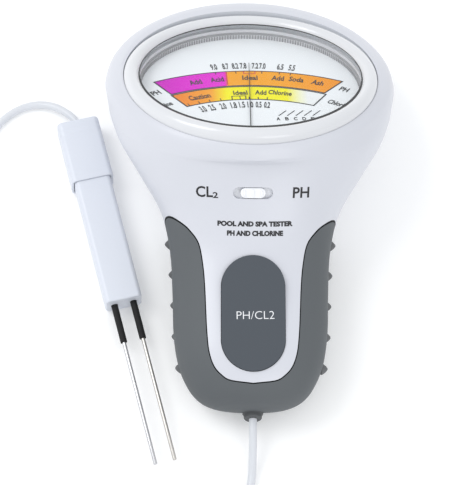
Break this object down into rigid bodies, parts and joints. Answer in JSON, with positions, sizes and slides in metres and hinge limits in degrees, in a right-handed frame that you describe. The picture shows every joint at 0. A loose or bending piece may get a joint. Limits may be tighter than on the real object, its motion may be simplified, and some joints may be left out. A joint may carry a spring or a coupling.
{
  "type": "pool and spa water tester",
  "caption": "Hand-held pool and spa water tester: tilted round needle meter, gripped handle with a large button and mode slider, curly cord and two-rod probe.",
  "frame": {"origin": "on the flat back, under the middle of the button", "axes": "+Z out of the front, +Y along the handle towards the head, +X to the right seen from the front"},
  "size_m": [0.1656, 0.2399, 0.0667],
  "materials": {
    "shell_white": "satin moulded plastic",
    "grip_grey": "matt soft-touch",
    "bezel_white": "gloss",
    "lens_clear": "clear acrylic",
    "seal_black": "matt",
    "wall_white": "ribbed",
    "dial_print": "printed card face",
    "brass": "satin",
    "iron": "machined",
    "magnet_grey": "sintered",
    "steel": "satin",
    "copper": "enamelled wire",
    "needle_black": "matt",
    "button_slate": "satin",
    "switch_black": "matt",
    "slider_white": "satin",
    "board_green": "solder mask",
    "trimmer_blue": "matt",
    "trimmer_white": "matt",
    "resistor_tan": "lacquered",
    "capacitor_navy": "sleeved",
    "wire_red": "pvc",
    "gland_grey": "matt",
    "cord_white": "satin pvc",
    "bush_clear": "clear pvc",
    "probe_white": "satin",
    "block_natural": "matt",
    "sleeve_black": "satin",
    "rod_silver": "drawn",
    "rod_copper": "drawn"
  },
  "bodies": {
    "case": {"front_housing": "shell_white", "rear_housing": "shell_white", "grip_boot": "grip_grey", "bezel_ring": "bezel_white", "window_lens": "lens_clear", "lens_gasket": "seal_black", "dial_wall": "wall_white", "dial_plate": "dial_print", "meter_frame": "brass", "meter_yoke": "iron", "meter_core": "magnet_grey", "top_bearing": "brass", "bottom_bearing": "brass", "meter_screws": "steel", "hair_springs": "brass", "button_spring": "steel", "push_switch": "switch_black", "slide_switch": "switch_black", "circuit_board": "board_green", "board_screws": "steel", "housing_screws": "steel", "trimmer_bodies": "trimmer_blue", "resistors": "resistor_tan", "capacitors": "capacitor_navy", "meter_leads": "wire_red", "cord_gland": "gland_grey", "cord_clamp": "slider_white", "cord_tail": "cord_white", "cord_curl": "cord_white", "cord_lead": "cord_white", "probe_bush": "bush_clear", "probe_cap": "probe_white", "probe_body": "probe_white", "electrode_block": "block_natural", "probe_wires": "wire_red", "sleeve_left": "sleeve_black", "sleeve_right": "sleeve_black", "electrode_left": "rod_silver", "electrode_right": "rod_copper"},
    "button": {"mode_button": "button_slate", "switch_plunger": "slider_white"},
    "slider": {"mode_slider": "slider_white"},
    "needle": {"moving_coil": "copper", "coil_spindle": "steel", "pointer": "needle_black"},
    "trimmer_ph": {"trimmer_ph": "trimmer_white"},
    "trimmer_chlorine": {"trimmer_chlorine": "trimmer_white"}
  },
  "joints": [
    {"name": "button_press", "type": "slide", "parent": "case", "child": "button", "axis": [0, 0.1908, -0.9816], "range_m": [0, 0.0016], "stiffness_N_per_m": 600, "springref_m": -0.001, "deforming": ["button_spring"]},
    {"name": "mode_slide", "type": "slide", "parent": "case", "child": "slider", "axis": [1, 0, 0], "range_m": [-0.0025, 0.0025]},
    {"name": "needle_turn", "type": "hinge", "parent": "case", "child": "needle", "pos_m": [0, 0.06932, 0.05727], "axis": [0, 0.5373, 0.8434], "range_deg": [-42, 42], "stiffness_Nm_per_rad": 0.0002},
    {"name": "trimmer_ph_turn", "type": "hinge", "parent": "case", "child": "trimmer_ph", "pos_m": [-0.012, 0.02, 0.0155], "axis": [0, 0, 1], "range_deg": [-130, 130]},
    {"name": "trimmer_chlorine_turn", "type": "hinge", "parent": "case", "child": "trimmer_chlorine", "pos_m": [0.012, 0.02, 0.0155], "axis": [0, 0, 1], "range_deg": [-130, 130]}
  ]
}
